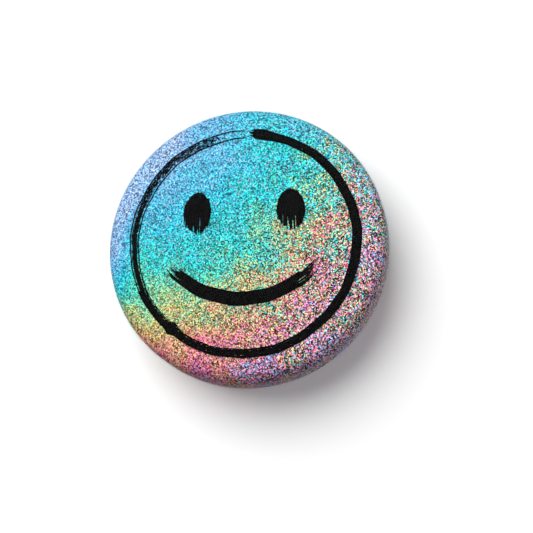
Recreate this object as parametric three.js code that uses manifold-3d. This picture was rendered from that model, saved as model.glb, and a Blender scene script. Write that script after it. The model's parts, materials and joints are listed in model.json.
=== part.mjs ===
// Button badge with a pinned back, in millimetres.
// It stands upright as worn: the printed face looks along -Y, +Z is up, and the origin is the
// centre of the back plate's flat rear face, which lies against the cloth.

import * as THREE from 'three';
import { mergeVertices } from 'three/addons/utils/BufferGeometryUtils.js';
import Module from 'manifold-3d';

const wasm = await Module();
wasm.setup();

// Driving dimensions
const BADGE_DIAMETER = 32;
const FACE_APEX = -4.7; // Y of the crown's highest point
const CROWN_RADIUS = 150; // the gentle dome of the face
const SHOULDER_RADIUS = 1.6;
const CURL_RADIUS = 0.85; // outside of the rolled rim
const CURL_CENTRE = 0.1; // Y of the rolled rim's centre
const CURL_END = 1.1 * Math.PI; // how far the rim rolls round, from pointing outwards

// Depths of the layers below the outside of the badge, measured square to the surface
const CLEAR_FILM = [0, 0.08];
const INK = [0.11, 0.15];
const GLITTER_FILM = [0.18, 0.3];
const SHELL = [0.33, 0.58];

// The printed mark
const RING_OUTER = 13.1;
const RING_INNER = 12.12;
const EYE_CENTRE = { x: 5.3, z: 3.4 };
const EYE_HALF = { x: 1.65, z: 2.5 };
const SMILE_RADIUS = 11;
const SMILE_CENTRE_Z = 4.5;
const SMILE_HALF_ANGLE = THREE.MathUtils.degToRad(52);
const SMILE_HALF_WIDTH = 0.78;

// The back plate
const PLATE_THICKNESS = 0.3;
const PLATE_MIDDLE_RADIUS = 1.6; // the plate's middle, clear of the bridges, that rests on the cloth
const PLATE_FLAT_RADIUS = 13.1;
const PLATE_WALL_RADIUS = 13.6;
const FLANGE_RADIUS = 15.15;
const FLANGE_DEPTH = 0.42; // from the flat rear face down to the flange's rear face
const BEAD = { inner: 11.5, width: 1.0, slope: 0.3, height: 0.22 };
const BEND_LAG = 0.1; // how far the sheet's inner side lags its outer side at a bend

// The pin
const WIRE_RADIUS = 0.32;
const WIRE_SIDES = 10;
const COIL_RADIUS = 1.2; // to the middle of the wire
const COIL_PITCH = 0.76; // between the two turns, along the hinge axis
const COIL_TURN = THREE.MathUtils.degToRad(282); // of each of the two wires round the coil
const COIL_STEPS = 16;
const COIL_X = 8.6;
const LEG_Z = 2.5;
const LEG_Y = 0.75; // middle of the fixed leg above the plate
const LEG_LENGTH = 18.3;
const NEEDLE_LENGTH = 18.1; // to the tip
const POINT_LENGTH = 2.6;
const SWING_TILT = THREE.MathUtils.degToRad(60); // the swing leans this far from outwards to upwards
const CRIMP_FIT = 0.05; // clearance of the fixed leg in the clasp
const FIT = 0.15; // clearance of the fixed leg in the bridges and of the needle in the hook
const CLASP = { from: 15.9, to: 18.7, sheet: 0.25, lip: 0.85, start: 0.25, fold: 0.42 };
const BRIDGE = { x: 4.6, width: 2.6 };

const SEGMENTS = 48; // the same on every round piece, so that stacked layers stay parallel
const OUTER = BADGE_DIAMETER / 2;

const finishes = {
  clear: { color: 0xf4f8fa, roughness: 0.08, metalness: 0, transparent: true, opacity: 0.3 },
  glitter: { color: 0x8fb4b8, roughness: 0.3, metalness: 0.7 },
  ink: { color: 0x0b0b0c, roughness: 0.6, metalness: 0 },
  tinplate: { color: 0xc3c6c8, roughness: 0.3, metalness: 1 },
  wire: { color: 0xd4d6d8, roughness: 0.2, metalness: 1 },
};

const badge = new THREE.Group();

function add(name, geometry, finish, parent = badge) {
  const mesh = new THREE.Mesh(geometry, new THREE.MeshStandardMaterial(finishes[finish]));
  mesh.name = name;
  parent.add(mesh);
  return mesh;
}

// Solids for cutting and joining

function toSolid(geometry) {
  const bare = geometry.clone();
  bare.deleteAttribute('normal');
  bare.deleteAttribute('uv');
  const merged = mergeVertices(bare, 1e-5);
  return new wasm.Manifold(new wasm.Mesh({
    numProp: 3,
    vertProperties: new Float32Array(merged.attributes.position.array),
    triVerts: new Uint32Array(merged.index.array),
  }));
}

function toGeometry(solid) {
  const mesh = solid.getMesh();
  const geometry = new THREE.BufferGeometry();
  geometry.setAttribute('position', new THREE.BufferAttribute(mesh.vertProperties, 3));
  geometry.setIndex(new THREE.BufferAttribute(mesh.triVerts, 1));
  geometry.computeVertexNormals();
  return geometry;
}

// The skin: crown, shoulder, side wall and rolled rim

function arcPoints(centre, radius, from, to, steps) {
  const points = [];
  for (let i = 0; i <= steps; i += 1) {
    const angle = THREE.MathUtils.lerp(from, to, i / steps);
    const normal = new THREE.Vector2(Math.cos(angle), Math.sin(angle));
    points.push({ at: normal.clone().multiplyScalar(radius).add(centre), normal });
  }
  return points;
}

// Points (r, y) down the outside of the badge, each with its outward normal
function skinLine() {
  const crownCentre = new THREE.Vector2(0, FACE_APEX + CROWN_RADIUS);
  const shoulderR = OUTER - SHOULDER_RADIUS;
  const reach = CROWN_RADIUS - SHOULDER_RADIUS;
  const shoulderCentre = new THREE.Vector2(
    shoulderR,
    crownCentre.y - Math.sqrt(reach ** 2 - shoulderR ** 2),
  );
  const tangent = shoulderCentre.clone().sub(crownCentre).angle() - 2 * Math.PI;
  const curlCentre = new THREE.Vector2(OUTER - CURL_RADIUS, CURL_CENTRE);
  return [
    ...arcPoints(crownCentre, CROWN_RADIUS, -Math.PI / 2, tangent, 4).slice(0, -1),
    ...arcPoints(shoulderCentre, SHOULDER_RADIUS, tangent, 0, 4),
    ...arcPoints(curlCentre, CURL_RADIUS, 0, CURL_END, 6),
  ];
}

function depthLine(line, depth) {
  return line.map(({ at, normal }) => at.clone().addScaledVector(normal, -depth));
}

// A sheet between two depths, from the middle of the face to the end of the rolled rim
function layer([top, bottom]) {
  const outside = depthLine(skinLine(), top);
  const inside = depthLine(skinLine(), bottom);
  outside[0].x = 0;
  inside[0].x = 0;
  return new THREE.LatheGeometry([...outside, ...inside.reverse()], SEGMENTS);
}

// The crown's Y at radius r and a depth below the skin
function crownY(r, depth) {
  return FACE_APEX + CROWN_RADIUS - Math.sqrt((CROWN_RADIUS - depth) ** 2 - r ** 2);
}

// Ink

function inkRing() {
  const corners = [
    [RING_INNER, INK[0]],
    [RING_OUTER, INK[0]],
    [RING_OUTER, INK[1]],
    [RING_INNER, INK[1]],
    [RING_INNER, INK[0]],
  ];
  return new THREE.LatheGeometry(corners.map(([r, d]) => new THREE.Vector2(r, crownY(r, d))), SEGMENTS);
}

// A flat outline in X and Z, printed on the crown
function printed(shape) {
  const block = new THREE.ExtrudeGeometry(shape, { depth: 4, bevelEnabled: false, curveSegments: 24 });
  block.rotateX(Math.PI / 2); // the outline's Y becomes Z, and the block runs from Y 0 to -4
  block.translate(0, -2, 0);
  const ink = toSolid(layer(INK)).intersect(toSolid(block));
  return toGeometry(ink);
}

function eyeShape(side) {
  const shape = new THREE.Shape();
  shape.absellipse(side * EYE_CENTRE.x, EYE_CENTRE.z, EYE_HALF.x, EYE_HALF.z, 0, 2 * Math.PI);
  return shape;
}

// An arc with round ends
function smileShape() {
  const shape = new THREE.Shape();
  const from = -Math.PI / 2 - SMILE_HALF_ANGLE;
  const to = -Math.PI / 2 + SMILE_HALF_ANGLE;
  const end = (angle) => [
    SMILE_RADIUS * Math.cos(angle),
    SMILE_CENTRE_Z + SMILE_RADIUS * Math.sin(angle),
  ];
  shape.absarc(0, SMILE_CENTRE_Z, SMILE_RADIUS + SMILE_HALF_WIDTH, from, to, false);
  shape.absarc(...end(to), SMILE_HALF_WIDTH, to, to + Math.PI, false);
  shape.absarc(0, SMILE_CENTRE_Z, SMILE_RADIUS - SMILE_HALF_WIDTH, to, from, true);
  shape.absarc(...end(from), SMILE_HALF_WIDTH, from + Math.PI, from + 2 * Math.PI, false);
  return shape;
}

// Back plate

// One sheet, bent: flat middle, bead, wall and flange
function plateDisc() {
  const { inner, width, slope, height } = BEAD;
  const t = PLATE_THICKNESS;
  const front = [
    [0, -t],
    [inner - BEND_LAG, -t],
    [inner + slope, height - t],
    [inner + width - slope, height - t],
    [inner + width + BEND_LAG, -t],
    [PLATE_FLAT_RADIUS, -t],
    [PLATE_WALL_RADIUS - 2.5 * BEND_LAG, -t - 0.5 * FLANGE_DEPTH],
    [PLATE_WALL_RADIUS - BEND_LAG, -t - FLANGE_DEPTH],
    [FLANGE_RADIUS, -t - FLANGE_DEPTH],
  ];
  const rear = [
    [FLANGE_RADIUS, -FLANGE_DEPTH],
    [PLATE_WALL_RADIUS + 1.5 * BEND_LAG, -FLANGE_DEPTH],
    [PLATE_WALL_RADIUS, -0.65 * FLANGE_DEPTH],
    [PLATE_WALL_RADIUS - 1.5 * BEND_LAG, -0.25 * FLANGE_DEPTH],
    [PLATE_FLAT_RADIUS, 0],
    [inner + width, 0],
    [inner + width - slope, height],
    [inner + slope, height],
    [inner, 0],
    [PLATE_MIDDLE_RADIUS, 0],
    [0, 0],
  ];
  return new THREE.LatheGeometry([...front, ...rear].map(([r, y]) => new THREE.Vector2(r, y)), SEGMENTS);
}

// A strap pushed out of the plate over the wire, and the window that it leaves
function bridge(x) {
  const inside = WIRE_RADIUS + FIT;
  const outside = inside + PLATE_THICKNESS;
  const foot = -PLATE_THICKNESS / 2;
  const section = new THREE.Shape();
  section.moveTo(-outside, foot);
  section.lineTo(-outside, LEG_Y);
  section.absarc(0, LEG_Y, outside, Math.PI, 0, true);
  section.lineTo(outside, foot);
  section.lineTo(inside, foot);
  section.lineTo(inside, LEG_Y);
  section.absarc(0, LEG_Y, inside, 0, Math.PI, false);
  section.lineTo(-inside, foot);
  section.closePath();
  const strap = new THREE.ExtrudeGeometry(section, {
    depth: BRIDGE.width,
    bevelEnabled: false,
    curveSegments: 8,
  });
  strap.rotateY(Math.PI / 2); // the section's X becomes -Z, and the strap runs along +X
  strap.translate(x - BRIDGE.width / 2, 0, LEG_Z);
  const window = new THREE.BoxGeometry(BRIDGE.width, 2, 2 * inside);
  window.translate(x, 0, LEG_Z);
  return { strap: toSolid(strap), window: toSolid(window) };
}

function backPlate() {
  let plate = toSolid(plateDisc());
  for (const x of [-BRIDGE.x, BRIDGE.x]) {
    const { strap, window } = bridge(x);
    plate = plate.subtract(window).add(strap);
  }
  return toGeometry(plate);
}

// Pin, drawn in a frame of its own at the coil's centre: X runs along the wire to the point, Y is
// the way that the needle swings open, and Z is the hinge axis

// A straight run to the coil on the side given by sign, then round the coil
class PinWire extends THREE.Curve {
  constructor(length, sign) {
    super();
    this.length = length;
    this.sign = sign;
  }

  getUtoTmapping(u) {
    return u; // the first step is the whole straight run, and the others share the turn
  }

  getPoint(t, target = new THREE.Vector3()) {
    const step = t * (COIL_STEPS + 1);
    if (step < 1) {
      return target.set(this.length * (1 - step), this.sign * COIL_RADIUS, 0);
    }
    const angle = (COIL_TURN * (step - 1)) / COIL_STEPS;
    return target.set(
      -COIL_RADIUS * Math.sin(angle),
      this.sign * COIL_RADIUS * Math.cos(angle),
      0,
    );
  }
}

function wireSection() {
  const corners = Array.from({ length: WIRE_SIDES }, (_, i) => {
    const angle = (2 * Math.PI * i) / WIRE_SIDES;
    return new THREE.Vector2(WIRE_RADIUS * Math.cos(angle), WIRE_RADIUS * Math.sin(angle));
  });
  return new THREE.Shape(corners);
}

function pinWire(length, sign) {
  return new THREE.ExtrudeGeometry(wireSection(), {
    extrudePath: new PinWire(length, sign),
    steps: COIL_STEPS + 1,
    bevelEnabled: false,
  });
}

function needle() {
  const overlap = 0.02;
  const straight = NEEDLE_LENGTH - POINT_LENGTH;
  const point = new THREE.CylinderGeometry(0.03, WIRE_RADIUS, POINT_LENGTH + overlap, WIRE_SIDES);
  point.rotateZ(-Math.PI / 2);
  point.translate(straight + (POINT_LENGTH - overlap) / 2, COIL_RADIUS, 0);
  return toGeometry(toSolid(pinWire(straight, 1)).add(toSolid(point)));
}

// The clasp's sheet, as a folded strip: round the fixed leg, across to the needle and over it
function claspShape() {
  const half = CLASP.sheet / 2;
  const crimp = WIRE_RADIUS + CRIMP_FIT + half;
  const hook = WIRE_RADIUS + FIT + half;
  const leg = new THREE.Vector2(-COIL_RADIUS, -COIL_PITCH / 2);
  const tip = new THREE.Vector2(COIL_RADIUS, COIL_PITCH / 2);
  return ribbonShape([
    new THREE.Vector2(leg.x + CLASP.start, leg.y - crimp),
    new THREE.Vector2(leg.x - crimp, leg.y - crimp),
    new THREE.Vector2(leg.x - crimp, leg.y + crimp),
    new THREE.Vector2(tip.x - hook, leg.y + crimp),
    new THREE.Vector2(tip.x - hook, tip.y + hook),
    new THREE.Vector2(tip.x + CLASP.lip, tip.y + hook),
  ], half);
}

// Outline of a strip of constant thickness along a line with square, rounded folds
function ribbonShape(folds, half) {
  const last = folds.length - 1;
  const centre = [{ at: folds[0], normal: leftOf(folds[0], folds[1]) }];
  for (let i = 1; i < last; i += 1) {
    const before = leftOf(folds[i - 1], folds[i]);
    const after = leftOf(folds[i], folds[i + 1]);
    const turn = Math.sign(before.cross(after));
    const radius = Math.min(CLASP.fold, 0.45 * folds[i].distanceTo(folds[i + 1]));
    const pivot = folds[i].clone().add(before.clone().add(after).multiplyScalar(turn * radius));
    for (let k = 0; k <= 3; k += 1) {
      const normal = before.clone().rotateAround(new THREE.Vector2(), (turn * k * Math.PI) / 6);
      centre.push({ at: pivot.clone().addScaledVector(normal, -turn * radius), normal });
    }
  }
  centre.push({ at: folds[last], normal: leftOf(folds[last - 1], folds[last]) });
  const left = centre.map(({ at, normal }) => at.clone().addScaledVector(normal, half));
  const right = centre.map(({ at, normal }) => at.clone().addScaledVector(normal, -half)).reverse();
  return new THREE.Shape([...left, ...right]);
}

function leftOf(from, to) {
  const along = to.clone().sub(from).normalize();
  return new THREE.Vector2(-along.y, along.x);
}

function clasp() {
  const sheet = new THREE.ExtrudeGeometry(claspShape(), {
    depth: CLASP.to - CLASP.from,
    bevelEnabled: false,
  });
  // the outline lies in the pin frame's Y and Z, and its depth runs along X
  sheet.applyMatrix4(new THREE.Matrix4().makeBasis(
    new THREE.Vector3(0, 1, 0),
    new THREE.Vector3(0, 0, 1),
    new THREE.Vector3(1, 0, 0),
  ));
  sheet.translate(CLASP.from, 0, 0);
  return sheet;
}

function pinFrame() {
  const frame = new THREE.Group();
  const along = new THREE.Vector3(-1, 0, 0);
  const swing = new THREE.Vector3(0, Math.cos(SWING_TILT), Math.sin(SWING_TILT));
  const hinge = new THREE.Vector3().crossVectors(along, swing);
  frame.quaternion.setFromRotationMatrix(new THREE.Matrix4().makeBasis(along, swing, hinge));
  const toLeg = swing.multiplyScalar(-COIL_RADIUS).addScaledVector(hinge, -COIL_PITCH / 2);
  frame.position.set(COIL_X, LEG_Y - toLeg.y, LEG_Z - toLeg.z);
  return frame;
}

add('clear_cover_film', layer(CLEAR_FILM), 'clear');
add('glitter_film', layer(GLITTER_FILM), 'glitter');
add('front_shell', layer(SHELL), 'tinplate');
add('ink_ring', inkRing(), 'ink');
add('ink_eye_left', printed(eyeShape(-1)), 'ink');
add('ink_eye_right', printed(eyeShape(1)), 'ink');
add('ink_smile', printed(smileShape()), 'ink');
add('back_plate', backPlate(), 'tinplate');

const pin = pinFrame();
badge.add(pin);
add('pin_fixed_leg', pinWire(LEG_LENGTH, -1), 'wire', pin).position.z = -COIL_PITCH / 2;
add('pin_needle', needle(), 'wire', pin).position.z = COIL_PITCH / 2;
add('pin_clasp', clasp(), 'tinplate', pin);

export default badge;
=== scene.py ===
# Button badge with a pinned back: fine surfaces, materials, light and camera around the CAD frame.
import json
import math

import bmesh
import bpy
import numpy as np
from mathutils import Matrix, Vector

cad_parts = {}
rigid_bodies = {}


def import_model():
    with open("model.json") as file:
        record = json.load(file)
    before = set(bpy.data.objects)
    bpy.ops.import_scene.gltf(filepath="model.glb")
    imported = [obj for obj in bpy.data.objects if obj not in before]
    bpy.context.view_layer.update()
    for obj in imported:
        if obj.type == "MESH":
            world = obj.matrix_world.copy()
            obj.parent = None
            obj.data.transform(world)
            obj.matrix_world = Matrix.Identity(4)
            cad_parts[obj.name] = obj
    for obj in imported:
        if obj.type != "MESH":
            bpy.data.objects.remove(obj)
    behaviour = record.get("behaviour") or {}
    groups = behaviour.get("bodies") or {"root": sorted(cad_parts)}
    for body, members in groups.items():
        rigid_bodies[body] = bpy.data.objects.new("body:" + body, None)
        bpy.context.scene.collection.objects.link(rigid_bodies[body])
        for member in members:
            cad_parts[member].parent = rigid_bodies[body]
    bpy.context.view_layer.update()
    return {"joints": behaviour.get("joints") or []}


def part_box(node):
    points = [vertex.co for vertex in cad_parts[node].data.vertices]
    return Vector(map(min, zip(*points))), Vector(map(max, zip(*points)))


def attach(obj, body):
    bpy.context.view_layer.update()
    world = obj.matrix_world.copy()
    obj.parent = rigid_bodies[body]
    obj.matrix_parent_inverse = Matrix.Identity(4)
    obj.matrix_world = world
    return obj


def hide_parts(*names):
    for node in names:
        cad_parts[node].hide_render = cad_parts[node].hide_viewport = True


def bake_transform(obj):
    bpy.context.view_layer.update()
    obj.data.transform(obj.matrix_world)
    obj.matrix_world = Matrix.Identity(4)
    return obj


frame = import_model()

MM = 0.001

# The skin of the badge, in millimetres, as the CAD draws it
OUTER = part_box("clear_cover_film")[1].x / MM
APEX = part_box("clear_cover_film")[0].y / MM
CROWN_RADIUS = 150.0
SHOULDER_RADIUS = 1.6
CURL_RADIUS = 0.85
CURL_CENTRE = 0.1
CURL_END = 1.1 * math.pi
CLEAR_FILM = (0.0, 0.08)
INK = (0.11, 0.15)
GLITTER_FILM = (0.18, 0.30)
SHELL = (0.33, 0.58)
ROUND = 256  # steps round every turned piece

# The printed mark
RING_RADIUS = 12.61
RING_WIDTH = 1.0
RING_START, RING_SWEEP = math.radians(87.5), math.radians(358.8)  # clockwise
RING_BLOB, RING_KNOT = 0.02, 0.608  # the shares of the turn where the brush swells
RING_DRY_FROM = 0.68  # the share of the turn from which the stroke's middle wears away
RING_LINE, RING_GAP = (0.875, 0.095), (0.68, 0.09)  # each one's middle and reach, across the stroke
RING_SEED, SMILE_SEED = 11, 23
EYE_CENTRE = (5.3, 3.4)
EYE_SIZE = (3.3, 5.0)
SMILE_RADIUS = 11.0
SMILE_CENTRE_Z = 4.5
SMILE_HALF_ANGLE = math.radians(52)
SMILE_WIDTH = 1.6
BRISTLE = 0.036  # cells of ink: fine across a stroke, where the bristles lie side by side,
CELL_LENGTH = 0.10  # and longer along it

# The back plate and the pin
PLATE_THICKNESS = 0.3
PLATE_FLAT_RADIUS = 13.1
PLATE_WALL_RADIUS = 13.6
FLANGE_RADIUS = 15.15
FLANGE_DEPTH = 0.42
BEAD_INNER, BEAD_WIDTH, BEAD_SLOPE, BEAD_HEIGHT = 11.5, 1.0, 0.3, 0.22
BRIDGE_X, BRIDGE_WIDTH = 4.6, 2.6
LEG_Y, LEG_Z = 0.75, 2.5
WIRE_RADIUS = 0.32
COIL_RADIUS = 1.2
COIL_PITCH = 0.76
LEG_LENGTH = 18.3
NEEDLE_LENGTH = 18.1
POINT_LENGTH = 2.6
FIT = 0.15
CRIMP_FIT = 0.05
CLASP_SHEET, CLASP_LIP, CLASP_START = 0.25, 0.85, 0.25
CLASP_FROM, CLASP_TO = 15.9, 18.7


# ---------------------------------------------------------------- mesh helpers

def loose(name, verts, faces):
    """An object with a closed mesh, given in millimetres, whose faces point out."""
    mesh = bpy.data.meshes.new(name)
    mesh.from_pydata([(x * MM, y * MM, z * MM) for x, y, z in verts], [], faces)
    bm = bmesh.new()
    bm.from_mesh(mesh)
    bmesh.ops.recalc_face_normals(bm, faces=bm.faces)
    bm.to_mesh(mesh)
    bm.free()
    thing = bpy.data.objects.new(name, mesh)
    bpy.context.scene.collection.objects.link(thing)
    return thing


def solid(name, verts, faces, body, slot, stands_for=(), sharp=35):
    """A finished piece from a mesh."""
    piece = loose(name, verts, faces)
    settle(piece, body, slot, stands_for, sharp)
    return piece


def settle(piece, body, slot, stands_for, sharp):
    """Smooth shading up to an angle, then the piece's body and the nodes it replaces; the slot is
    not used.
    """
    piece.data.polygons.foreach_set("use_smooth", [True] * len(piece.data.polygons))
    piece.data.set_sharp_from_angle(angle=math.radians(sharp))
    if body:
        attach(piece, body)
    if stands_for:
        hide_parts(*stands_for)


def turned(profile):
    """Vertices and faces of a (radius, y) profile, from the axis back to it, turned round Y."""
    verts, rings, faces = [], [], []
    angles = [2 * math.pi * i / ROUND for i in range(ROUND)]
    for r, y in profile:
        start = len(verts)
        if r < 1e-6:
            verts.append((0.0, y, 0.0))
            rings.append([start] * ROUND)
        else:
            verts += [(r * math.cos(a), y, r * math.sin(a)) for a in angles]
            rings.append(list(range(start, start + ROUND)))
    for near, far in zip(rings, rings[1:]):
        for i in range(ROUND):
            j = (i + 1) % ROUND
            corners = dict.fromkeys((near[i], near[j], far[j], far[i]))
            faces.append(tuple(corners))
    return verts, faces


def arc(centre, radius, start, end, steps):
    """Points along an arc, each with its outward normal."""
    points = []
    for i in range(steps + 1):
        a = start + (end - start) * i / steps
        n = (math.cos(a), math.sin(a))
        points.append((centre[0] + radius * n[0], centre[1] + radius * n[1], n[0], n[1]))
    return points


def skin_line():
    """The outside of the badge from the middle of the face to the end of the rolled rim."""
    centre_y = APEX + CROWN_RADIUS
    shoulder_r = OUTER - SHOULDER_RADIUS
    shoulder_y = centre_y - math.sqrt((CROWN_RADIUS - SHOULDER_RADIUS) ** 2 - shoulder_r ** 2)
    tangent = math.atan2(shoulder_y - centre_y, shoulder_r)
    return (
        arc((0, centre_y), CROWN_RADIUS, -math.pi / 2, tangent, 28)[:-1]
        + arc((shoulder_r, shoulder_y), SHOULDER_RADIUS, tangent, 0, 14)
        + arc((OUTER - CURL_RADIUS, CURL_CENTRE), CURL_RADIUS, 0, CURL_END, 20)
    )


def at_depth(depth):
    """The profile of (radius, y) at a depth under the skin."""
    return [(max(0.0, r - depth * nr), y - depth * ny) for r, y, nr, ny in skin_line()]


def layer(depths):
    """Vertices and faces of a sheet between two depths under the skin."""
    return turned(at_depth(depths[0]) + at_depth(depths[1])[::-1])


def crown_y(r, depth):
    """Where the crowned face lies at a radius, at a depth under the skin."""
    return APEX + CROWN_RADIUS - np.sqrt((CROWN_RADIUS - depth) ** 2 - r ** 2)


def ribbon(folds, radii, half, steps=10):
    """Closed outline of a strip of constant thickness along a line with rounded folds."""
    folds = [np.array(f, float) for f in folds]
    centre = []

    def left(a, b):
        d = (b - a) / np.linalg.norm(b - a)
        return np.array((-d[1], d[0]))

    centre.append((folds[0], left(folds[0], folds[1])))
    for before, here, after, radius in zip(folds, folds[1:], folds[2:], radii):
        n0, n1 = left(before, here), left(here, after)
        turn = math.copysign(1, n0[0] * n1[1] - n0[1] * n1[0])
        sweep = math.acos(max(-1.0, min(1.0, float(n0 @ n1))))
        pivot = here + (n0 + n1) * turn * radius / (1 + float(n0 @ n1))
        for k in range(steps + 1):
            a = turn * sweep * k / steps
            c, s = math.cos(a), math.sin(a)
            n = np.array((n0[0] * c - n0[1] * s, n0[0] * s + n0[1] * c))
            centre.append((pivot - turn * radius * n, n))
    centre.append((folds[-1], left(folds[-2], folds[-1])))
    return [p + half * n for p, n in centre] + [p - half * n for p, n in centre][::-1]


def prism(outline, low, high, place):
    """Vertices and faces of a (u, v) outline carried along w. place turns u, v, w into x, y, z."""
    count = len(outline)
    verts = [place(u, v, low) for u, v in outline] + [place(u, v, high) for u, v in outline]
    faces = [(i, (i + 1) % count, count + (i + 1) % count, count + i) for i in range(count)]
    # the ends are strips of quads, because the outline is a ribbon and bends
    for k in range(count // 2 - 1):
        ring = (k, k + 1, count - 2 - k, count - 1 - k)
        faces += [ring, tuple(count + i for i in ring)]
    return verts, faces


def tube(path, radii, sides=20):
    """Vertices and faces of a round wire along a path, with closed ends."""
    path = [Vector(p) for p in path]
    verts, faces = [], []
    last = len(path) - 1
    normal = None
    for i, p in enumerate(path):
        along = (path[min(i + 1, last)] - path[max(i - 1, 0)]).normalized()
        if normal is None:
            normal = along.orthogonal().normalized()
        normal = (normal - along * normal.dot(along)).normalized()
        side = along.cross(normal)
        for k in range(sides):
            a = 2 * math.pi * k / sides
            verts.append(tuple(p + radii[i] * (math.cos(a) * normal + math.sin(a) * side)))
    for i in range(last):
        for k in range(sides):
            j = (k + 1) % sides
            faces.append((i * sides + k, i * sides + j, (i + 1) * sides + j, (i + 1) * sides + k))
    faces.append(tuple(range(sides)))
    faces.append(tuple(last * sides + k for k in range(sides)))
    return verts, faces


# ---------------------------------------------------------------- brushed ink

def smooth_noise(rng, shape, reach):
    """Even noise from 0 to 1 that changes over reach cells along each axis."""
    field = rng.standard_normal(shape)
    for axis, cells in enumerate(reach):
        if not cells:
            continue
        half = max(1, int(3 * cells))
        kernel = np.exp(-0.5 * (np.arange(-half, half + 1) / cells) ** 2)
        ends = [(half, half) if k == axis else (0, 0) for k in range(2)]
        field = np.apply_along_axis(np.convolve, axis, np.pad(field, ends, "wrap"), kernel, "valid")
    order = np.argsort(np.argsort(field, None)).reshape(field.shape)
    return order / order.size


def without_corners(inked):
    """Fills cells until no two inked cells meet only at a corner."""
    for _ in range(4):
        a, b, c, d = inked[:-1, :-1], inked[1:, 1:], inked[1:, :-1], inked[:-1, 1:]
        inked[1:, :-1] |= a & b & ~c & ~d
        a, b, c, d = inked[:-1, :-1], inked[1:, 1:], inked[1:, :-1], inked[:-1, 1:]
        inked[:-1, :-1] |= c & d & ~a & ~b
    return inked


def ink_piece(name, inked, x, z):
    """A thin layer of ink on the crown: the True cells of a grid with its corners at x and z."""
    inked = without_corners(inked.copy())
    rows, columns = inked.shape
    corner = np.arange((rows + 1) * (columns + 1)).reshape(rows + 1, columns + 1)
    below = corner + corner.size
    i, j = np.nonzero(inked)
    top = np.stack([corner[i, j], corner[i + 1, j], corner[i + 1, j + 1], corner[i, j + 1]], 1)
    bottom = np.stack([below[i, j], below[i, j + 1], below[i + 1, j + 1], below[i + 1, j]], 1)
    walls = []
    padded = np.pad(inked, 1)
    # a wall wherever the next cell is bare: the step to that cell, then the wall's two corners
    for di, dj, p, q in (
        (-1, 0, (0, 1), (0, 0)),
        (1, 0, (1, 0), (1, 1)),
        (0, -1, (0, 0), (1, 0)),
        (0, 1, (1, 1), (0, 1)),
    ):
        open_side = ~padded[i + 1 + di, j + 1 + dj]
        a, b = i[open_side], j[open_side]
        walls.append(np.stack([
            corner[a + p[0], b + p[1]], corner[a + q[0], b + q[1]],
            below[a + q[0], b + q[1]], below[a + p[0], b + p[1]],
        ], 1))
    faces = np.concatenate([top, bottom] + walls)
    r = np.hypot(x, z)
    verts = np.concatenate([
        np.stack([x, crown_y(r, INK[0]), z], -1).reshape(-1, 3),
        np.stack([x, crown_y(r, INK[1]), z], -1).reshape(-1, 3),
    ])
    used, faces = np.unique(faces, return_inverse=True)
    faces = faces.reshape(-1, 4)
    node = name.replace("brushed", "ink")
    return solid(name, verts[used].tolist(), faces.tolist(), "badge", "black_ink", [node])


def brush_grid(length, width):
    """Cells of a stroke, and their corners: 0 to 1 along it and -1 to 1 across it."""
    rows, columns = int(length / CELL_LENGTH), int(width / BRISTLE)
    row, column = np.arange(rows + 1)[:, None], np.arange(columns + 1)[None, :]
    cells = (row[:-1] + 0.5) / rows, (column[:, :-1] + 0.5) / columns * 2 - 1
    corners = row / rows, column / columns * 2 - 1
    return (rows, columns), cells, corners


def lump(t, at, reach):
    """A smooth swelling of height 1 at a place along a stroke."""
    return np.exp(-((t - at) / reach) ** 2)


def ring_stroke():
    """One turn of a loaded brush, clockwise from just right of the top, dry up the left side."""
    rng = np.random.default_rng(RING_SEED)
    shape, (s, across), (t, u) = brush_grid(RING_SWEEP * RING_RADIUS, RING_WIDTH)
    off = np.abs(across)
    streak = smooth_noise(rng, shape, (26, 0.55))
    speck = smooth_noise(rng, shape, (0.8, 0.4))
    fine = np.interp(s, (0.74, 0.84), (0.3, 0.7))
    wear = (1 - fine) * streak + fine * speck
    # the middle of the stroke thins to a wash
    along_at = (0.02, 0.3, 0.66, 0.78, 0.84, 0.945, 0.965, 0.975)
    dry = np.interp(s, along_at, (0, 0.04, 0.12, 0.24, 0.45, 0.51, 0.85, 1))
    inked = wear > np.clip(dry + np.clip((off - 0.9) / 0.1, 0, 1) * 0.45, 0, 1)
    # and both its edges stay as lines, with a gap inside them
    dried = s > RING_DRY_FROM
    gap = (np.abs(off - RING_GAP[0]) < RING_GAP[1]) & (s < np.where(across < 0, 0.90, 0.80))
    inked &= ~(dried & gap & (speck > 0.2))
    line = np.abs(off - RING_LINE[0]) < RING_LINE[1]
    inked |= dried & line & (wear > np.interp(s, (RING_DRY_FROM, 0.995, 1), (0.08, 0.16, 0.6)))
    start = 0.008 * smooth_noise(rng, (1, shape[1]), (0, 1.5))
    end = 1 - 0.01 * smooth_noise(rng, (1, shape[1]), (0, 1.2))
    inked &= (s > start) & (s < end)
    angle = RING_START - RING_SWEEP * t
    swell = np.interp(t, (0.1, 0.25, 0.42, 0.7, 0.8, 0.97, 1), (1, 1.12, 1, 1, 1.14, 1.08, 1))
    swell = swell + 0.30 * lump(t, RING_BLOB, 0.014) + 0.55 * lump(t, RING_KNOT, 0.006)
    wobble = 0.04 * np.sin(9.1 * angle + 0.4) + 0.025 * np.sin(23 * angle)
    radius = RING_RADIUS + wobble + 0.5 * RING_WIDTH * swell * u
    return ink_piece("brushed_ring", inked, radius * np.cos(angle), radius * np.sin(angle))


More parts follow.
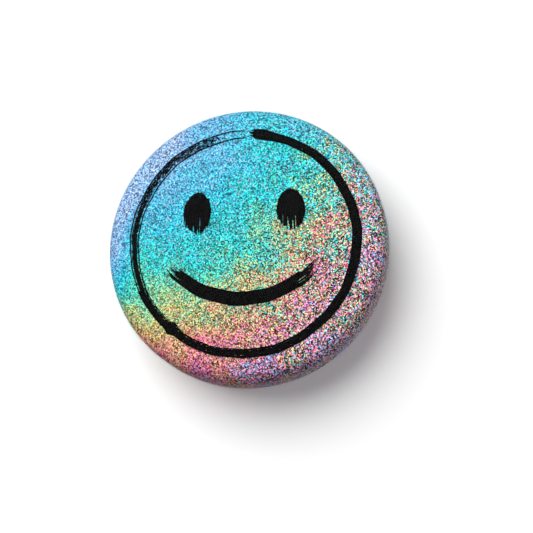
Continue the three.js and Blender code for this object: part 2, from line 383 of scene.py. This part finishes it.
def smile_stroke():
    """A stroke from the left to the right, full in the middle, with dry, split ends."""
    rng = np.random.default_rng(SMILE_SEED)
    sweep = 2 * SMILE_HALF_ANGLE
    shape, (s, across), (t, u) = brush_grid(sweep * SMILE_RADIUS, SMILE_WIDTH)
    wear = 0.7 * smooth_noise(rng, shape, (24, 0.9)) + 0.3 * smooth_noise(rng, shape, (3, 0.7))
    dry = np.interp(s, (0, 0.06, 0.16, 0.8, 0.93, 1), (0.58, 0.3, 0.02, 0.03, 0.34, 0.6))
    inked = wear > dry + 0.22 * np.clip((np.abs(across) - 0.88) / 0.12, 0, 1)
    inked &= s > 0.09 * smooth_noise(rng, (1, shape[1]), (0, 1.3))
    inked &= s < 1 - 0.12 * smooth_noise(rng, (1, shape[1]), (0, 1.3))
    angle = -math.pi / 2 - SMILE_HALF_ANGLE + sweep * t
    swell = 0.76 + 0.24 * np.sin(math.pi * t) ** 0.7 + 0.12 * lump(t, 0.84, 0.05)
    radius = SMILE_RADIUS + 0.05 * np.sin(31 * t) + 0.5 * SMILE_WIDTH * swell * u
    x, z = radius * np.cos(angle), SMILE_CENTRE_Z + radius * np.sin(angle)
    return ink_piece("brushed_smile", inked, x, z)


def eye_stroke(name, side, seed):
    """An upright dab of the brush: full at the top, split bristles at the foot."""
    rng = np.random.default_rng(seed)
    width, height = EYE_SIZE
    shape, (s, across), (t, u) = brush_grid(height, width)
    wear = 0.7 * smooth_noise(rng, shape, (13, 1.0)) + 0.3 * smooth_noise(rng, shape, (2.5, 0.8))
    ragged = 0.1 * smooth_noise(rng, (1, shape[1]), (0, 1.6))
    ragged = ragged + 0.05 * smooth_noise(rng, shape, (3, 1))
    ragged = ragged * np.interp(s, (0, 0.5, 1), (0.5, 0.7, 1.6))
    oval = np.sqrt(across ** 2 + (2 * s - 1) ** 2) + ragged
    dry = np.interp(s, (0, 0.55, 0.85, 1), (0.0, 0.03, 0.3, 0.5))
    inked = (oval < 1.02) & (wear > dry)
    x = side * EYE_CENTRE[0] + 0.5 * width * u + 0.12 * side * (t - 0.5)
    z = EYE_CENTRE[1] + height * (0.5 - t) + 0 * u
    return ink_piece(name, inked, x, z)


# ---------------------------------------------------------------- the back

def plate_profile():
    """The pressed plate's (radius, y): out along its rear, then back along its front."""
    t = PLATE_THICKNESS
    bead_in, bead_out = BEAD_INNER, BEAD_INNER + BEAD_WIDTH

    def bent(points, radius, steps=5):
        rounded = [points[0]]
        for a, b, c in zip(points, points[1:], points[2:]):
            a, b, c = Vector(a), Vector(b), Vector(c)
            reach = min(radius, 0.45 * (a - b).length, 0.45 * (c - b).length)
            p, q = b + (a - b).normalized() * reach, b + (c - b).normalized() * reach
            for k in range(steps + 1):
                f = k / steps
                rounded.append(tuple((1 - f) ** 2 * p + 2 * f * (1 - f) * b + f * f * q))
        return rounded + [points[-1]]

    rear = bent([
        (0, 0), (bead_in, 0),
        (bead_in + BEAD_SLOPE, BEAD_HEIGHT), (bead_out - BEAD_SLOPE, BEAD_HEIGHT),
        (bead_out, 0), (PLATE_FLAT_RADIUS + 0.2, 0),
        (PLATE_WALL_RADIUS + 0.08, -FLANGE_DEPTH), (FLANGE_RADIUS, -FLANGE_DEPTH),
    ], 0.25)
    # the front's corners are shifted a little, so that the sheet keeps its thickness on a slope
    front = [
        (FLANGE_RADIUS, -FLANGE_DEPTH - t), (PLATE_WALL_RADIUS - 0.1, -FLANGE_DEPTH - t),
        (PLATE_FLAT_RADIUS - 0.05, -t), (bead_out + 0.05, -t),
        (bead_out - BEAD_SLOPE, BEAD_HEIGHT - t), (bead_in + BEAD_SLOPE, BEAD_HEIGHT - t),
        (bead_in - 0.05, -t), (0, -t),
    ]
    return rear + front


def bridge_outline():
    """The strap's section in (z, y): feet flared into the plate, round over the wire."""
    mid = WIRE_RADIUS + FIT + PLATE_THICKNESS / 2
    foot = -PLATE_THICKNESS / 2
    top = LEG_Y + mid
    # a bend is a little tighter than half the strap's width, so that two of them don't meet
    return ribbon(
        [(-mid - 0.7, foot), (-mid, foot), (-mid, top), (mid, top), (mid, foot), (mid + 0.7, foot)],
        [0.2, mid * 0.98, mid * 0.98, 0.2], PLATE_THICKNESS / 2 - 0.01,
    )


def cut_or_join(target, tool, operation):
    """Cuts the tool out of the target or joins it on, and removes the tool."""
    mod = target.modifiers.new(operation, "BOOLEAN")
    mod.object, mod.operation, mod.solver = tool, operation, "EXACT"
    bpy.context.view_layer.update()
    result = target.evaluated_get(bpy.context.evaluated_depsgraph_get())
    made = bpy.data.meshes.new_from_object(result)
    target.modifiers.clear()
    target.data = made
    bpy.data.objects.remove(tool)


def back_plate():
    """The plate, with two windows cut in it and a strap over each for the wire."""
    def over_leg(u, v, w):
        return w, v, LEG_Z + u

    plate = loose("pressed_back_plate", *turned(plate_profile()))
    half = WIRE_RADIUS + FIT
    outline = [(-half, -1.0), (-half, 1.0), (half, 1.0), (half, -1.0)]
    for x in (-BRIDGE_X, BRIDGE_X):
        low, high = x - BRIDGE_WIDTH / 2, x + BRIDGE_WIDTH / 2
        window = loose("window", *prism(outline, low, high, over_leg))
        cut_or_join(plate, window, "DIFFERENCE")
        strap = loose("strap", *prism(bridge_outline(), low, high, over_leg))
        cut_or_join(plate, strap, "UNION")
    settle(plate, "badge", "tinplate", ["back_plate"], 30)
    return plate


# The pin's own frame: X from the coil to the point, Y the way the needle swings, Z the hinge axis
hinge_joint = frame["joints"][0]
hinge = Vector(hinge_joint["axis"]).normalized()
along = Vector((-1, 0, 0))
swing = hinge.cross(along)
coil = Vector(hinge_joint["pos_m"]) / MM


def in_pin(x, y, z):
    """A point of the pin's frame in the badge's."""
    return tuple(coil + along * x + swing * y + hinge * z)


def run_and_half_turn(length, sign, steps=40, straight_steps=60):
    """The wire's middle from the far end of its straight run, then half way round the coil."""
    z = sign * COIL_PITCH / 2
    run = [length * (1 - k / straight_steps) for k in range(straight_steps)]
    path = [(x, sign * COIL_RADIUS, z) for x in run]
    for k in range(steps + 1):
        a = math.pi * k / steps
        path.append((-COIL_RADIUS * math.sin(a), sign * COIL_RADIUS * math.cos(a), z))
    return path


def fixed_leg():
    path = run_and_half_turn(LEG_LENGTH, -1)
    radii = [WIRE_RADIUS] * len(path)
    radii[0] = 0.8 * WIRE_RADIUS
    path.insert(1, (LEG_LENGTH - 0.07, path[0][1], path[0][2]))
    radii.insert(1, WIRE_RADIUS)
    verts, faces = tube([in_pin(*p) for p in path], radii)
    return solid("fixed_leg_wire", verts, faces, "badge", "spring_wire", ["pin_fixed_leg"], 50)


def needle():
    path = run_and_half_turn(NEEDLE_LENGTH, 1, straight_steps=110)
    radii = []
    for x, _, _ in path:
        f = min(1.0, max(0.0, (NEEDLE_LENGTH - x) / POINT_LENGTH)) if x > 0 else 1.0
        radii.append(WIRE_RADIUS * (0.07 + 0.93 * math.sin(0.5 * math.pi * f) ** 0.8))
    verts, faces = tube([in_pin(*p) for p in path], radii, 24)
    return solid("needle_wire", verts, faces, "needle", "spring_wire", ["pin_needle"], 50)


def coil_turn():
    """The half turn that joins the coil's two sides. The real one twists as the needle opens; this
    one is drawn at rest.
    """
    steps = 48
    path = []
    for k in range(steps + 1):
        f = k / steps
        a = math.pi * f
        ease = f * f * (3 - 2 * f)
        z = COIL_PITCH * (ease - 0.5)
        path.append((COIL_RADIUS * math.sin(a), COIL_RADIUS * math.cos(a), z))
    verts, faces = tube([in_pin(*p) for p in path], [WIRE_RADIUS] * len(path))
    piece = solid("coil_turn_wire", verts, faces, None, "spring_wire", (), 50)
    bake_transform(piece)
    return piece


def clasp():
    """One folded strip: crimped round the fixed leg, up, and over the needle as a hook."""
    half = CLASP_SHEET / 2
    crimp = WIRE_RADIUS + CRIMP_FIT + half
    hook = WIRE_RADIUS + FIT + half
    leg = (-COIL_RADIUS, -COIL_PITCH / 2)
    tip = (COIL_RADIUS, COIL_PITCH / 2)
    outline = ribbon(
        [
            (leg[0] + CLASP_START, leg[1] - crimp), (leg[0] - crimp, leg[1] - crimp),
            (leg[0] - crimp, leg[1] + crimp), (tip[0] - hook, leg[1] + crimp),
            (tip[0] - hook, tip[1] + hook), (tip[0] + CLASP_LIP, tip[1] + hook),
        ],
        [crimp * 0.97, crimp * 0.97, 0.3, 0.3], half,
    )
    verts, faces = prism(outline, CLASP_FROM, CLASP_TO, lambda u, v, w: in_pin(w, u, v))
    piece = solid("folded_clasp", verts, faces, "badge", "tinplate", ["pin_clasp"], 30)
    edge = piece.modifiers.new("edge", "BEVEL")
    edge.width, edge.segments = 0.04 * MM, 2
    edge.limit_method, edge.angle_limit = "ANGLE", math.radians(50)
    return piece


# ---------------------------------------------------------------- materials

class Nodes:
    """An empty node tree, with short names for what it needs."""

    def __init__(self, owner, output):
        owner.use_nodes = True
        self.tree = owner.node_tree
        self.tree.nodes.clear()
        self.output = self.node(output)

    def node(self, kind, inputs=None, **settings):
        made = self.tree.nodes.new(kind)
        for key, value in settings.items():
            setattr(made, key, value)
        for key, value in (inputs or {}).items():
            self.set(made.inputs[key], value)
        return made

    def parts(self, kind, value):
        """The three parts of a vector or a colour."""
        made = self.node(kind, {0: value})
        return [made.outputs[k] for k in range(3)]

    def set(self, socket, value):
        if isinstance(value, bpy.types.NodeSocket):
            self.tree.links.new(value, socket)
        else:
            socket.default_value = value

    def math(self, operation, a, b=0.0, c=0.0):
        made = self.node("ShaderNodeMath", operation=operation)
        for socket, value in zip(made.inputs, (a, b, c)):
            self.set(socket, value)
        return made.outputs[0]

    def vector(self, operation, a, b=(0, 0, 0), scale=None):
        made = self.node("ShaderNodeVectorMath", operation=operation)
        self.set(made.inputs[0], a)
        self.set(made.inputs[1], b)
        if scale is not None:
            self.set(made.inputs["Scale"], scale)
        return made.outputs["Value" if operation in ("LENGTH", "DISTANCE") else "Vector"]

    def ramp(self, factor, stops):
        """A colour that runs through stops of (position, sRGB colour)."""
        made = self.node("ShaderNodeValToRGB")
        made.color_ramp.elements.remove(made.color_ramp.elements[1])
        made.color_ramp.elements[0].position = stops[0][0]
        made.color_ramp.elements[0].color = rgb(stops[0][1])
        for position, colour in stops[1:]:
            made.color_ramp.elements.new(position).color = rgb(colour)
        self.set(made.inputs[0], factor)
        return made.outputs["Color"]

    def spread(self, value, low, high, to_low, to_high):
        """The value carried from low and high to to_low and to_high, and held there beyond them."""
        ends = {"From Min": low, "From Max": high, "To Min": to_low, "To Max": to_high}
        made = self.node("ShaderNodeMapRange", {"Value": value, **ends}, clamp=True)
        return made.outputs["Result"]

    def around_zero(self, value, reach):
        """A value of 0 to 1 carried to both sides of 0, over reach in all."""
        return self.math("MULTIPLY", self.math("SUBTRACT", value, 0.5), reach)

    def mix_values(self, a, b, share):
        made = self.node("ShaderNodeMix", data_type="FLOAT")
        for socket, value in zip((made.inputs[0], made.inputs[2], made.inputs[3]), (share, a, b)):
            self.set(socket, value)
        return made.outputs[0]

    def mix(self, factor, a, b, blend="MIX"):
        made = self.node("ShaderNodeMix", data_type="RGBA", blend_type=blend)
        self.set(made.inputs[0], factor)
        self.set(made.inputs[6], a)
        self.set(made.inputs[7], b)
        return made.outputs[2]

    def show(self, shader):
        self.tree.links.new(shader.outputs[0], self.output.inputs["Surface"])

    def show_mix(self, share, first, second):
        """Shows the first shader, and the second by its share."""
        inputs = {0: share, 1: first.outputs[0], 2: second.outputs[0]}
        self.show(self.node("ShaderNodeMixShader", inputs))


class Paint(Nodes):
    """A node material."""

    def __init__(self, name):
        self.material = bpy.data.materials.new(name)
        super().__init__(self.material, "ShaderNodeOutputMaterial")

    def place(self):
        """The point in millimetres."""
        coordinates = self.node("ShaderNodeTexCoord").outputs["Object"]
        return self.vector("SCALE", coordinates, scale=1 / MM)

    def noise(self, place, scale, detail):
        inputs = {"Vector": place, "Scale": scale, "Detail": detail}
        return self.node("ShaderNodeTexNoise", inputs).outputs[0]

    def bump(self, height, strength, distance):
        inputs = {"Height": height, "Strength": strength, "Distance": distance}
        return self.node("ShaderNodeBump", inputs).outputs[0]

    def surface(self, **inputs):
        shader = self.node("ShaderNodeBsdfPrincipled")
        for key, value in inputs.items():
            self.set(shader.inputs[key.replace("_", " ")], value)
        self.show(shader)
        return self.material


def rgb(colour):
    """A colour written as sRGB 0 to 1, as the linear one that a node holds."""
    linear = [c / 12.92 if c <= 0.04045 else ((c + 0.055) / 1.055) ** 2.4 for c in colour[:3]]
    return (*linear, 1.0)


GLITTER_GRAIN = 0.125
RIM = (12.4, 14.8)  # the radii between which the glitter's face becomes its rim
HUE_CENTRE = (-0.6 * OUTER, 0, 0.8 * OUTER)  # the drift of hue starts here
HUE_PER_MM = 0.45 / OUTER
HUE_START, HUE_LOWEST, HUE_HIGHEST = 0.03, 0.05, 0.85
RAINBOW = [
    (0.00, (0.62, 0.73, 0.90)),
    (0.14, (0.46, 0.69, 0.89)),
    (0.26, (0.25, 0.72, 0.87)),
    (0.36, (0.14, 0.76, 0.83)),
    (0.48, (0.14, 0.80, 0.74)),
    (0.56, (0.46, 0.78, 0.56)),
    (0.62, (0.76, 0.76, 0.42)),
    (0.70, (0.92, 0.62, 0.44)),
    (0.79, (0.94, 0.46, 0.54)),
    (0.88, (0.90, 0.40, 0.66)),
    (0.95, (0.72, 0.54, 0.80)),
    (1.00, (0.62, 0.73, 0.90)),
]


def glitter_paint():
    """Holographic glitter: grains of their own hue, brightness and tilt, round a drift of hue, with
    painted shade and painted glints.
    """
    p = Paint("holographic_glitter")
    place = p.place()
    x, _, z = p.parts("ShaderNodeSeparateXYZ", place)
    cells = p.node("ShaderNodeTexVoronoi", {"Vector": place, "Scale": 1 / GLITTER_GRAIN})
    grain = cells.outputs["Color"]
    hue_pick, value_pick, glint_pick = p.parts("ShaderNodeSeparateColor", grain)

    # the drift of hue: rings of colour round a point on the upper left, held back along the top
    # of the rim
    flat = p.node("ShaderNodeCombineXYZ", {"X": x, "Z": z}).outputs[0]
    squeezed = p.vector("MULTIPLY", flat, (0.8, 1, 1))
    reach = p.vector("DISTANCE", squeezed, HUE_CENTRE)
    rim = p.spread(p.vector("LENGTH", flat), *RIM, 0.0, 1.0)
    upper_left = p.spread(z, -0.45 * OUTER, 0.0, 0.0, 1.0)
    upper_left = p.math("MULTIPLY", upper_left, p.spread(x, -0.9 * OUTER, -0.4 * OUTER, 0.33, 0.02))
    upper_right = p.spread(z, -0.1 * OUTER, 0.4 * OUTER, 0.0, 1.0)
    upper_right = p.math("MULTIPLY", upper_right, p.spread(x, 0.1 * OUTER, 0.5 * OUTER, 0.0, 1.0))
    upper_right = p.math("MULTIPLY", upper_right, rim)
    rim = p.math("MULTIPLY_ADD", upper_left, rim, p.math("MULTIPLY", upper_right, 0.14))
    # grains stray further from it towards the lower right
    slope = p.math("ADD", p.math("MULTIPLY", x, 0.85 / OUTER), p.math("MULTIPLY", z, -0.45 / OUTER))
    shaded_and_varied_side = p.math("POWER", p.spread(slope, -0.7, 0.7, 0.0, 1.0), 2.5)
    blotch = p.around_zero(p.noise(place, 0.3, 2.0), p.spread(shaded_and_varied_side, 0, 1, 0.2, 1.1))
    phase = p.math("SUBTRACT", p.math("MULTIPLY_ADD", reach, HUE_PER_MM, HUE_START), rim)
    phase = p.math("MINIMUM", p.math("MAXIMUM", phase, HUE_LOWEST), HUE_HIGHEST)
    phase = p.math("ADD", phase, blotch)
    stray = p.math("MULTIPLY_ADD", upper_right, 0.3, p.spread(shaded_and_varied_side, 0, 1, 0.11, 0.60))
    wander = p.around_zero(hue_pick, stray)
    tint = p.ramp(p.math("FRACT", p.math("ADD", p.math("ADD", phase, wander), 1.0)), RAINBOW)

    # and differ more in brightness; painted shade darkens the lower right and the bottom of the rim
    swing = p.around_zero(value_pick, p.spread(shaded_and_varied_side, 0, 1, 1.15, 2.9))
    value = p.math("POWER", p.math("MAXIMUM", p.math("ADD", swing, 1.0), 0.05), 2.2)
    # painted shade: the glitter is darker towards the lower right, away from the light
    value = p.math("MULTIPLY", value, p.spread(shaded_and_varied_side, 0, 1, 0.80, 0.53))
    # painted shade: darker along the bottom of the rim, as if lit from above
    value = p.math("MULTIPLY", value, p.spread(z, -OUTER, -0.7 * OUTER, 0.66, 1.0))
    tint = p.mix(shaded_and_varied_side, tint, (1.0, 0.86, 0.90, 1), "MULTIPLY")
    colour = p.vector("SCALE", tint, scale=value)
    # painted glints: a few grains turned pale blue-white in the colour itself
    painted_glint = p.spread(glint_pick, 0.86, 0.9, 0, 0.4)
    colour = p.mix(painted_glint, colour, (0.72, 0.78, 0.85, 1))

    tilt = p.vector("SCALE", p.vector("SUBTRACT", grain, (0.5, 0.5, 0.5)), scale=0.35)
    facing = p.node("ShaderNodeNewGeometry").outputs["Normal"]
    normal = p.vector("NORMALIZE", p.vector("ADD", facing, tilt))
    return p.surface(Base_Color=colour, Metallic=0.3, Roughness=0.4, Normal=normal)


def film_paint():
    """Clear polyester: mirror-like at a grazing view, almost nothing face on."""
    p = Paint("clear_polyester")
    place = p.place()
    bump = p.bump(p.noise(place, 0.22, 2.0), 0.12, 0.4 * MM)
    clear = p.node("ShaderNodeBsdfTransparent", {"Color": (0.98, 0.99, 0.995, 1)})
    gloss = p.node("ShaderNodeBsdfGlossy", {"Roughness": 0.16, "Normal": bump})
    edge = p.node("ShaderNodeFresnel", {"IOR": 1.2, "Normal": bump})
    outside = p.math("SUBTRACT", 1.0, p.node("ShaderNodeNewGeometry").outputs["Backfacing"])
    shine = p.math("MULTIPLY", p.math("MINIMUM", edge.outputs[0], 0.07), outside)
    p.show_mix(shine, clear, gloss)
    return p.material


def ink_paint():
    """Matt black ink, a little cloudy, with the fine tooth that a dry brush leaves."""
    p = Paint("brushed_black_ink")
    place = p.place()
    cloud, fine = p.noise(place, 2.2, 4.0), p.noise(place, 14.0, 3.0)
    stops = [(0, (0.005, 0.005, 0.006)), (1, (0.065, 0.063, 0.065))]
    colour = p.ramp(p.spread(cloud, 0.35, 0.7, 0, 1), stops)
    bump = p.bump(fine, 0.5, 0.03 * MM)
    rough = p.spread(fine, 0.3, 0.7, 0.5, 0.75)
    return p.surface(Base_Color=colour, Roughness=rough, Normal=bump, Specular_IOR_Level=0.06)


def tinplate_paint():
    """Bright rolled tinplate: fine grain along X, a faint mottle and handling smudges in its
    roughness.
    """
    p = Paint("rolled_tinplate")
    place = p.place()
    stretched = p.node("ShaderNodeMapping", {"Vector": place, "Scale": (0.25, 14, 14)}).outputs[0]
    grain = p.noise(stretched, 1.0, 5.0)
    mottle, smudge = p.noise(place, 0.35, 6.0), p.noise(place, 0.12, 3.0)
    shade = p.mix_values(p.spread(mottle, 0.3, 0.7, 0, 1), p.spread(grain, 0.3, 0.7, 0, 1), 0.45)
    colour = p.ramp(shade, [(0, (0.73, 0.74, 0.76)), (1, (0.89, 0.89, 0.895))])
    rough = p.spread(smudge, 0.3, 0.7, -0.02, 0.08)
    rough = p.math("ADD", p.spread(grain, 0.3, 0.7, 0.2, 0.34), rough)
    bump = p.bump(grain, 0.25, 0.03 * MM)
    return p.surface(Base_Color=colour, Metallic=1.0, Roughness=rough, Normal=bump)


def wire_paint():
    """Nickel-plated spring wire with faint lines from the drawing die."""
    p = Paint("nickel_wire")
    place = p.place()
    stretched = p.node("ShaderNodeMapping", {"Vector": place, "Scale": (0.5, 22, 22)}).outputs[0]
    lines, cloud = p.noise(stretched, 1.0, 3.0), p.noise(place, 1.1, 3.0)
    shade = p.spread(cloud, 0.3, 0.7, 0, 1)
    colour = p.ramp(shade, [(0, (0.80, 0.80, 0.79)), (1, (0.90, 0.90, 0.89))])
    bump = p.bump(lines, 0.2, 0.02 * MM)
    rough = p.spread(lines, 0.3, 0.7, 0.12, 0.24)
    return p.surface(Base_Color=colour, Metallic=1.0, Roughness=rough, Normal=bump)


# ---------------------------------------------------------------- the badge

def dress(piece, material):
    piece.data.materials.clear()
    piece.data.materials.append(material)


tin, wire, ink = tinplate_paint(), wire_paint(), ink_paint()
for name, depths, slot, node, material in (
    ("cover_film_skin", CLEAR_FILM, "clear_film", "clear_cover_film", film_paint()),
    ("glitter_skin", GLITTER_FILM, "glitter_film", "glitter_film", glitter_paint()),
    ("pressed_shell", SHELL, "tinplate", "front_shell", tin),
):
    dress(solid(name, *layer(depths), "badge", slot, [node]), material)
for stroke in (
    ring_stroke(),
    eye_stroke("brushed_eye_left", -1, 5),
    eye_stroke("brushed_eye_right", 1, 8),
    smile_stroke(),
):
    dress(stroke, ink)
dress(back_plate(), tin)
dress(clasp(), tin)
for piece in (fixed_leg(), needle(), coil_turn()):
    dress(piece, wire)
metal = bpy.data.collections.new("metal")
for piece in bpy.context.scene.objects:
    if piece.type == "MESH" and piece.data.materials and piece.data.materials[0] in (tin, wire):
        metal.objects.link(piece)


# ---------------------------------------------------------------- backdrop, light and camera

def backdrop():
    """A white wall just behind the pin. It fades out edge on and doesn't show from behind."""
    wall_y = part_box("pin_clasp")[1].y + 0.05 * MM
    size = 0.5
    mesh = bpy.data.meshes.new("backdrop")
    corners = [(x * size, wall_y, z * size) for x, z in ((-1, -1), (1, -1), (1, 1), (-1, 1))]
    mesh.from_pydata(corners, [], [(0, 1, 2, 3)])
    wall = bpy.data.objects.new("backdrop", mesh)
    bpy.context.scene.collection.objects.link(wall)
    p = Paint("backdrop_white")
    front = p.node("ShaderNodeBsdfDiffuse", {"Color": (0.9, 0.9, 0.9, 1)})
    gone = p.node("ShaderNodeBsdfTransparent")
    slant = p.node("ShaderNodeLayerWeight", {"Blend": 0.5}).outputs["Facing"]
    behind = p.node("ShaderNodeNewGeometry").outputs["Backfacing"]
    hidden = p.math("MAXIMUM", p.spread(slant, 0.6, 0.85, 0.0, 1.0), behind)
    p.show_mix(hidden, front, gone)
    dress(wall, p.material)
    for seen_by in ("diffuse", "glossy", "transmission", "shadow"):
        setattr(wall, "visible_" + seen_by, False)


def area_light(name, at, size, watts):
    """A round lamp that points at the badge."""
    data = bpy.data.lights.new(name, "AREA")
    data.shape, data.size, data.energy = "DISK", size, watts
    light = bpy.data.objects.new(name, data)
    light.location = at
    light.rotation_mode = "QUATERNION"
    light.rotation_quaternion = (-Vector(at)).to_track_quat("-Z", "Y")
    bpy.context.scene.collection.objects.link(light)
    return light


def studio(metal):
    """Daylight from the upper left, a lamp behind, and two that light only the bare metal."""
    world = bpy.data.worlds.new("studio")
    bpy.context.scene.world = world
    n = Nodes(world, "ShaderNodeOutputWorld")
    path = n.node("ShaderNodeLightPath")
    # reflections see a room that is darker below; the sweep beyond the backdrop is white to look at
    direction = n.node("ShaderNodeTexCoord").outputs["Generated"]
    _, _, height = n.parts("ShaderNodeSeparateXYZ", direction)
    reflected = n.spread(height, -0.5, 0.5, 0.15, 0.53)
    ambient = 0.36
    room = n.mix_values(ambient, reflected, path.outputs["Is Glossy Ray"])
    light = n.node("ShaderNodeBackground", {"Color": (1, 1, 1, 1), "Strength": room})
    sweep = n.node("ShaderNodeBackground", {"Color": (1, 1, 1, 1)})
    n.show_mix(path.outputs["Is Camera Ray"], light, sweep)
    key = area_light("key", (-0.22, -0.47, 0.30), 0.76, 6.0)
    key.visible_glossy = False
    area_light("behind", (0, 0.5, 0), 0.2, 2.0).visible_glossy = False
    for lamp in (
        area_light("back_high", (0.12, 0.36, 0.40), 0.16, 0.5),
        area_light("back_low", (0.46, 0.34, -0.22), 0.22, 0.12),
    ):
        lamp.light_linking.receiver_collection = metal
    bpy.context.scene.view_settings.view_transform = "Standard"


def camera():
    """Square to the face, but for a turn and a dip that show the side wall at the lower right."""
    turn, dip = math.radians(9.5), math.radians(-13.5)
    lens, view_width = 100.0, 60.4 * MM
    aside, below = 2.0 * MM, 2.05 * MM  # from the middle of the badge to the middle of the view
    data = bpy.data.cameras.new("camera")
    data.lens = lens
    eye = bpy.data.objects.new("camera", data)
    back = Vector((math.sin(turn) * math.cos(dip), -math.cos(turn) * math.cos(dip), math.sin(dip)))
    eye.rotation_mode = "QUATERNION"
    eye.rotation_quaternion = (-back).to_track_quat("-Z", "Y")
    right, up = (eye.rotation_quaternion @ Vector(v) for v in ((1, 0, 0), (0, 1, 0)))
    middle = Vector((0, -1.1 * MM, 0)) + aside * right - below * up
    eye.location = middle + back * (view_width * lens / data.sensor_width)
    data.clip_start, data.clip_end = 0.01, 5
    bpy.context.scene.collection.objects.link(eye)
    bpy.context.scene.camera = eye


backdrop()
studio(metal)
camera()
